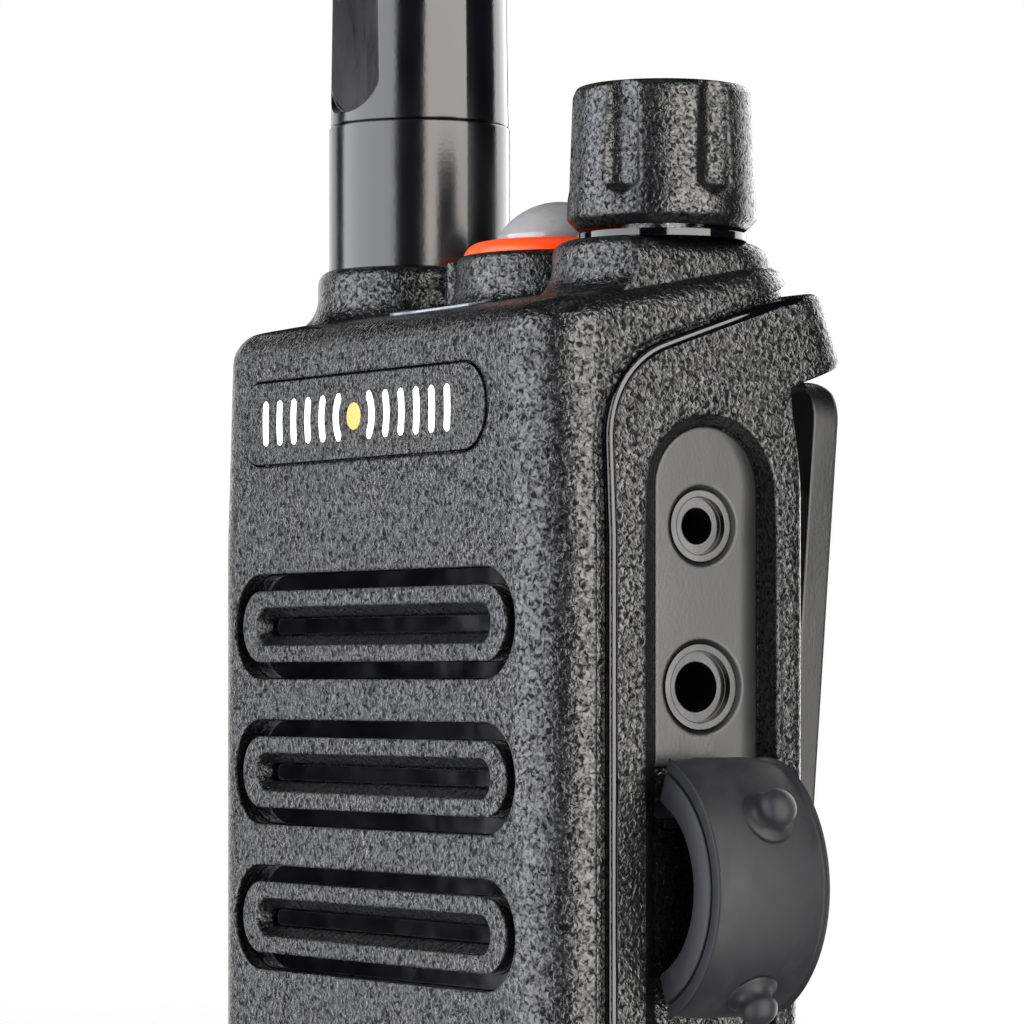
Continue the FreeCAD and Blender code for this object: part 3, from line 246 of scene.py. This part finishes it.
def woven_net(name, colour, thread):
    """A fine woven cloth."""
    look = Look(name, colour, 0.8, Sheen_Weight=0.3)
    inputs = [("Vector", look.place), ("Scale", 0.16 / thread)]
    waves = [look.add("TexWave", inputs, bands_direction=way).outputs["Fac"] for way in ("X", "Z")]
    weave = look.math("MULTIPLY", *waves)
    look.bump(weave, thread * 0.5)
    look.tint(look.remap(weave, 0.0, 0.6, 0.0, 0.8), tuple(c * 2.5 for c in colour))
    look.vary_roughness(look.noise(3 * MM, 2.0), 0.7, 0.9)
    return look.done()


def print_ink(name, colour, roughness):
    """Screen-printed ink: slightly uneven and matte."""
    look = Look(name, colour, roughness)
    look.bump(look.noise(0.15 * MM, 2.0), 0.004 * MM)
    look.tint(look.remap(look.noise(0.5 * MM, 3.0), 0.5, 0.8, 0.0, 0.3), tuple(c * 0.8 for c in colour))
    look.vary_roughness(look.noise(0.8 * MM, 2.0), roughness - 0.08, roughness + 0.1)
    return look.done()


SLOTS = {
    "grained_black": grained_plastic("grained_black"),
    "satin_black": satin_plastic("satin_black"),
    "gloss_black": gloss_plastic("gloss_black"),
    "antenna_black": satin_plastic("antenna_black", (0.001, 0.001, 0.0013), 0.15, 0.2 * MM),
    "black_rubber": soft_rubber("black_rubber"),
    "orange_plastic": orange_plastic("orange_plastic"),
    "pale_lens": milky_lens("pale_lens", (0.19, 0.19, 0.195), (0.25, 0.25, 0.25), 0.3, 3 * MM),
    "light_window": milky_lens("light_window", (0.14, 0.155, 0.2), (0.2, 0.22, 0.26), 0.22, 2 * MM),
    "jack_plastic": gloss_plastic("jack_plastic", (0.002, 0.002, 0.0022), 0.13, 0.1 * MM),
    "bright_steel": metal("bright_steel", (0.56, 0.56, 0.57), 0.28),
    "blackened_steel": metal("blackened_steel", (0.035, 0.035, 0.038), 0.3, tarnish=(0.05, 0.047, 0.044)),
    "brass": metal("brass", (0.83, 0.6, 0.25), 0.26, tarnish=(0.5, 0.34, 0.14)),
    "green_board": board_finish("green_board"),
    "cast_plate": metal("cast_plate", (0.5, 0.5, 0.51), 0.48, along=(1, 1, 1)),
    "cell_wrap": satin_plastic("cell_wrap", (0.05, 0.1, 0.28), 0.3),
    "grey_mesh": woven_net("grey_mesh", (0.02, 0.02, 0.02), 0.3 * MM),
    "paper_cone": woven_net("paper_cone", (0.03, 0.028, 0.026), 0.8 * MM),
    "switch_plastic": satin_plastic("switch_plastic", (0.02, 0.02, 0.022), 0.4),
}
FINER = {
    "volume_knob": grained_plastic("knob_grain", depth=0.02 * MM, grain=0.3 * MM, edge=0.45 * MM),
    "badge_plate": grained_plastic("badge_grain", depth=0.022 * MM, grain=0.3 * MM, edge=0.12 * MM),
}


def dress_frame():
    """Gives every CAD sub-part the material of its slot, or one of its own."""
    for part in frame["record"]["subparts"]:
        obj = frame["nodes"][part["node"]]
        look = FINER.get(part["node"], SLOTS[part["material_slot"]])
        obj.data.materials.clear()
        obj.data.materials.append(look)


# Pieces


def piece(name, rings, look, body=ROOT):
    """A skin over rings of points in millimetres, capped at both ends."""
    shape = bmesh.new()
    loops = [[shape.verts.new(Vector(point) * MM) for point in ring] for ring in rings]
    count = len(loops[0])
    for low, high in zip(loops, loops[1:]):
        for i in range(count):
            j = (i + 1) % count
            shape.faces.new((low[i], low[j], high[j], high[i]))
    shape.faces.new(loops[0])
    shape.faces.new(loops[-1])
    bmesh.ops.recalc_face_normals(shape, faces=shape.faces)
    data = bpy.data.meshes.new(name)
    shape.to_mesh(data)
    data.set_sharp_from_angle(angle=math.radians(50))
    data.materials.append(look)
    obj = bpy.data.objects.new(name, data)
    bpy.context.scene.collection.objects.link(obj)
    if body:
        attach(obj, body)
    return obj


def rounded(low, high, half, corner, steps=5):
    """An outline of (a, b) points: a from low to high, b out to half either way, its corners rounded."""
    points = []
    for turn, (a, b) in enumerate(((high, half), (low, half), (low, -half), (high, -half))):
        middle = (a - math.copysign(corner, a - (low + high) / 2), b - math.copysign(corner, b))
        for i in range(steps):
            angle = math.pi / 2 * (turn + i / (steps - 1))
            points.append((middle[0] + corner * math.cos(angle), middle[1] + corner * math.sin(angle)))
    return points


def swept(name, path, radius, look, body=ROOT, sides=10):
    """A round bar along a path of points in millimetres."""
    path = [Vector(point) for point in path]
    rings, across = [], None
    for i, here in enumerate(path):
        along = (path[min(i + 1, len(path) - 1)] - path[max(i - 1, 0)]).normalized()
        across = (across or along.orthogonal()) - along * (across or along.orthogonal()).dot(along)
        across.normalize()
        other = along.cross(across)
        angles = [2 * math.pi * k / sides for k in range(sides)]
        rings.append([here + (across * math.cos(a) + other * math.sin(a)) * radius for a in angles])
    return piece(name, rings, look, body)


# The open cover is bowed round COVER_MIDDLE (millimetres), COVER_SPREAD to each side of +X.
COVER_MIDDLE = Vector((22.07, 1.75, 63.4))
COVER_RADIUS = 8.885
COVER_SPREAD = math.radians(69.7)
COVER_HALF = 4.7


def on_cover(radius, y, angle):
    """A point that far from the middle of the cover's bow."""
    return COVER_MIDDLE + Vector((radius * math.cos(angle), y, radius * math.sin(angle)))


def cover_edge(half, trim):
    """One side of the cover cut across: a thick layer and a thin skin with a narrow groove between them."""
    groove, inner, outer = 0.42, 0.5, 0.28
    low, seam, high = -2.5 + trim, -0.1, 0.98 - trim * 0.5
    side = [(low, half * 0.5)]
    for i in range(6):
        a = math.pi / 2 * i / 5
        side.append((low + inner * (1 - math.cos(a)), half - inner * (1 - math.sin(a))))
    side += [(seam - 0.2, half), (seam - 0.12, half - 0.05), (seam - 0.07, half - groove),
             (seam + 0.09, half - groove), (seam + 0.14, half - 0.05), (seam + 0.22, half)]
    for i in range(5):
        a = math.pi / 2 * i / 4
        side.append((high - outer * (1 - math.cos(a)), half - outer * (1 - math.sin(math.pi / 2 - a))))
    return side + [(high, half * 0.5)]


def cover_section(front, rear, trim):
    """The whole cut from the front edge to the rear edge and back."""
    return cover_edge(rear, trim) + [(r, -y) for r, y in reversed(cover_edge(front, trim))]


def rounding(corner, near):
    """How much a corner of that radius takes off an edge at a distance from the end."""
    return corner - math.sqrt(corner ** 2 - max(corner - near, 0) ** 2)


def jack_cover():
    """The open rubber cover: a bowed pad with two pegs on its outward face, and the neck that holds it."""
    rubber = SLOTS["black_rubber"]
    length = 2 * COVER_SPREAD * COVER_RADIUS
    front_corner, rear_corner, edge, cuts = 0.5, 1.8, 0.35, 44
    ends = [0.0, 0.04, 0.1, 0.2, 0.35, 0.5, 0.8, 1.2, rear_corner]
    between = [rear_corner + (length - 2 * rear_corner) * i / cuts for i in range(1, cuts)]
    stops = ends + between + [length - d for d in reversed(ends)]
    rings = []
    for stop in stops:
        near = min(stop, length - stop)
        section = cover_section(COVER_HALF - rounding(front_corner, near),
                                COVER_HALF - rounding(rear_corner, near), rounding(edge, near))
        angle = stop / COVER_RADIUS - COVER_SPREAD
        rings.append([on_cover(COVER_RADIUS + r, y, angle) for r, y in section])
    pad = piece("cover_pad", rings, rubber, "jack_cover")
    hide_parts("jack_cover")
    for name, degrees, radius in (("cover_peg_upper", 31.0, 1.3), ("cover_peg_lower", -48.5, 1.2)):
        profile = [(radius + 0.75, -0.05), (radius + 0.35, 0.08), (radius + 0.12, 0.28), (radius, 0.6),
                   (radius, 0.95), (radius + 0.12, 1.2)]
        profile += [((radius + 0.12) * math.cos(a), 1.26 + 1.15 * math.sin(a))
                    for a in (math.pi / 2 * i / 9 for i in range(1, 9))] + [(0.12, 2.41)]
        turn = math.radians(degrees)
        out, up = Vector((math.cos(turn), 0, math.sin(turn))), Vector((-math.sin(turn), 0, math.cos(turn)))
        foot = on_cover(COVER_RADIUS + 1.0, 0.4, turn)
        rings = [[foot + out * h + (up * math.cos(a) + Vector((0, 1, 0)) * math.sin(a)) * r
                  for a in (2 * math.pi * k / 28 for k in range(28))] for r, h in profile]
        piece(name, rings, rubber, "jack_cover")
    start, bend, end = Vector((21.9, 0, 68.9)), Vector((23.6, 0, 68.9)), Vector((25.3, 0, 70.7))
    rings = []
    for i in range(17):
        t = i / 16
        here = start * (1 - t) ** 2 + bend * 2 * t * (1 - t) + end * t ** 2
        along = ((bend - start) * (1 - t) + (end - bend) * t).normalized()
        normal = Vector((-along.z, 0, along.x))
        rings.append([here + normal * a + Vector((0, COVER_MIDDLE.y + b, 0))
                      for a, b in rounded(-0.7, 0.7, 3.6, 0.5)])
    neck = piece("cover_neck", rings, rubber, None)
    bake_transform(neck)


def side_at(z):
    """How far the casing's side stands from the middle at a height."""
    return 24.5 - 1.3 * max(z - 88, 0) / 22.5


def lip_at(y):
    """The height of the hood's rim."""
    return 105.1 + 0.19 * (y - 8)


def frame_bead():
    """The smooth bead on the edge of the side frames, up over the arch, up the slope and round the hood."""
    inset, hood_inset, front, slope = 0.3, 0.48, -6.95, math.tan(math.radians(18.6))
    middle, radius = (0.55, 94.68), 7.5 - inset
    side = [(front + inset, z) for z in (1.0, 20, 40, 60, 80, 88, 92)]
    for i in range(14):
        a = math.radians(180 - 71.4 * i / 13)
        side.append((middle[0] + radius * math.cos(a), middle[1] + radius * math.sin(a)))
    side += [(y, 100.07 + (y - front) * slope - inset) for y in (1, 4, 6.5)]
    side += [(y, lip_at(y) - 0.45) for y in (8.3, 9.68)]
    path = [(side_at(z) - (inset if y < 7 else hood_inset), y, z) for y, z in side]
    corner, centre = 3.4, (19.56, 9.68)
    for i in range(1, 9):
        a = math.pi / 2 * i / 8
        y = centre[1] + corner * math.sin(a)
        path.append((centre[0] + corner * math.cos(a), y, lip_at(y) - hood_inset))
    path += [(x, centre[1] + corner, lip_at(centre[1] + corner) - hood_inset) for x in (14, 7, 0)]
    path += [(-x, y, z) for x, y, z in reversed(path[:-1])]
    swept("frame_bead", path, 0.42, SLOTS["gloss_black"])


def badge_mark():
    """A plain radio-wave sign on the badge: six white arcs on each side of a gold dot."""
    x0, z0, face, root, width = -1.9, 97.45, -12.125, -12.0, 0.42
    white = print_ink("white_ink", (0.62, 0.62, 0.62), 0.5)
    gold = print_ink("gold_ink", (0.42, 0.2, 0.03), 0.45)
    arcs = ((2.6, 41), (4.7, 21.5), (6.8, 14.7), (8.9, 11.2), (11.0, 9.0), (13.1, 7.5))
    for side, middle in (("left", 180), ("right", 0)):
        for i, (radius, spread) in enumerate(arcs):
            rings = []
            for k in range(21):
                a = math.radians(middle - spread + 2 * spread * k / 20)
                taper = width * min(1.0, math.sqrt(max(1 - (abs(k - 10) / 10) ** 12, 0.04)))
                rings.append([(x0 + (radius + d) * math.cos(a), y, z0 + (radius + d) * math.sin(a))
                              for d, y in ((-taper, face), (taper, face), (taper, root), (-taper, root))])
            piece(f"badge_arc_{side}_{i}", rings, white)
    angles = [2 * math.pi * k / 32 for k in range(32)]
    dot = [[(x0 + r * math.cos(a), y, z0 + r * math.sin(a)) for a in angles]
           for r, y in ((1.0, root), (1.0, face + 0.002), (0.97, face), (0.3, face))]
    piece("badge_dot", dot, gold)


# Camera, lights and floor


def camera():
    """A long lens near the height of the radio's middle, in front of the corner beside the jacks."""
    data = bpy.data.cameras.new("camera")
    data.lens, data.sensor_width, data.shift_y = 165.2, 36, 0.164
    obj = bpy.data.objects.new("camera", data)
    obj.location = (0.2962, -0.1889, 0.078)
    obj.rotation_euler = (math.radians(90), 0, math.radians(57.4))
    bpy.context.scene.collection.objects.link(obj)
    bpy.context.scene.camera = obj


def softbox(name, aim, azimuth, distance, height, size, brightness, colour):
    """A rectangular light that faces aim from an azimuth, counted from +X towards +Y."""
    data = bpy.data.lights.new(name, "AREA")
    data.shape, data.size, data.size_y = "RECTANGLE", *size
    data.energy = brightness * math.pi * size[0] * size[1]
    data.color = colour
    obj = bpy.data.objects.new(name, data)
    turn = math.radians(azimuth)
    obj.location = aim + Vector((math.cos(turn) * distance, math.sin(turn) * distance, height))
    obj.rotation_euler = (aim - obj.location).to_track_quat("-Z", "Y").to_euler()
    obj.visible_camera = False
    bpy.context.scene.collection.objects.link(obj)


def lights():
    """A cool softbox before the front, a warm one beside the jacks, weaker ones left, behind and above."""
    middle = Vector((0, 0, 0.09))
    softbox("front_box", middle, -104.5, 0.75, 0.0, (1.3, 1.7), 6.2, (0.96, 0.97, 1.0))
    softbox("side_box", middle, 4.5, 0.35, 0.0, (0.404, 0.9), 8.4, (1.0, 0.985, 0.96))
    softbox("left_box", middle, 178, 0.9, 0.0, (0.6, 0.8), 1.5, (1.0, 1.0, 1.0))
    softbox("back_box", middle, 108, 0.9, 0.1, (0.8, 1.0), 4.0, (1.0, 1.0, 1.0))
    softbox("top_box", middle, 200, 0.1, 0.9, (0.5, 0.5), 0.5, (1.0, 1.0, 1.0))


def surroundings():
    """A white backdrop for the eye, with dim grey all round for reflections, and a pale floor."""
    scene = bpy.context.scene
    scene.view_settings.view_transform = "Standard"
    world = bpy.data.worlds.new("studio")
    world.use_nodes = True
    tree = world.node_tree
    seen = tree.nodes["Background"]
    seen.inputs[0].default_value = (1, 1, 1, 1)
    dim = tree.nodes.new("ShaderNodeBackground")
    dim.inputs[0].default_value = (0.012, 0.012, 0.012, 1)
    mix = tree.nodes.new("ShaderNodeMixShader")
    tree.links.new(tree.nodes.new("ShaderNodeLightPath").outputs["Is Camera Ray"], mix.inputs[0])
    tree.links.new(dim.outputs[0], mix.inputs[1])
    tree.links.new(seen.outputs[0], mix.inputs[2])
    tree.links.new(mix.outputs[0], tree.nodes["World Output"].inputs[0])
    scene.world = world
    shape = bmesh.new()
    bmesh.ops.create_grid(shape, x_segments=8, y_segments=8, size=1)
    data = bpy.data.meshes.new("floor")
    shape.to_mesh(data)
    floor = bpy.data.objects.new("floor", data)
    scene.collection.objects.link(floor)
    look = Look("floor", (0.9, 0.9, 0.9), 0.7)
    look.vary_roughness(look.noise(60 * MM, 2.0), 0.65, 0.8)
    reach = look.add("VectorMath", [(0, look.place)], operation="LENGTH").outputs["Value"]
    look.tree.links.new(look.remap(reach, 0.3, 0.8, 1.0, 0.0), look.shader.inputs["Alpha"])
    data.materials.append(look.done())
    floor.visible_glossy = False
    floor.visible_shadow = False


dress_frame()
jack_cover()
frame_bead()
badge_mark()
camera()
lights()
surroundings()
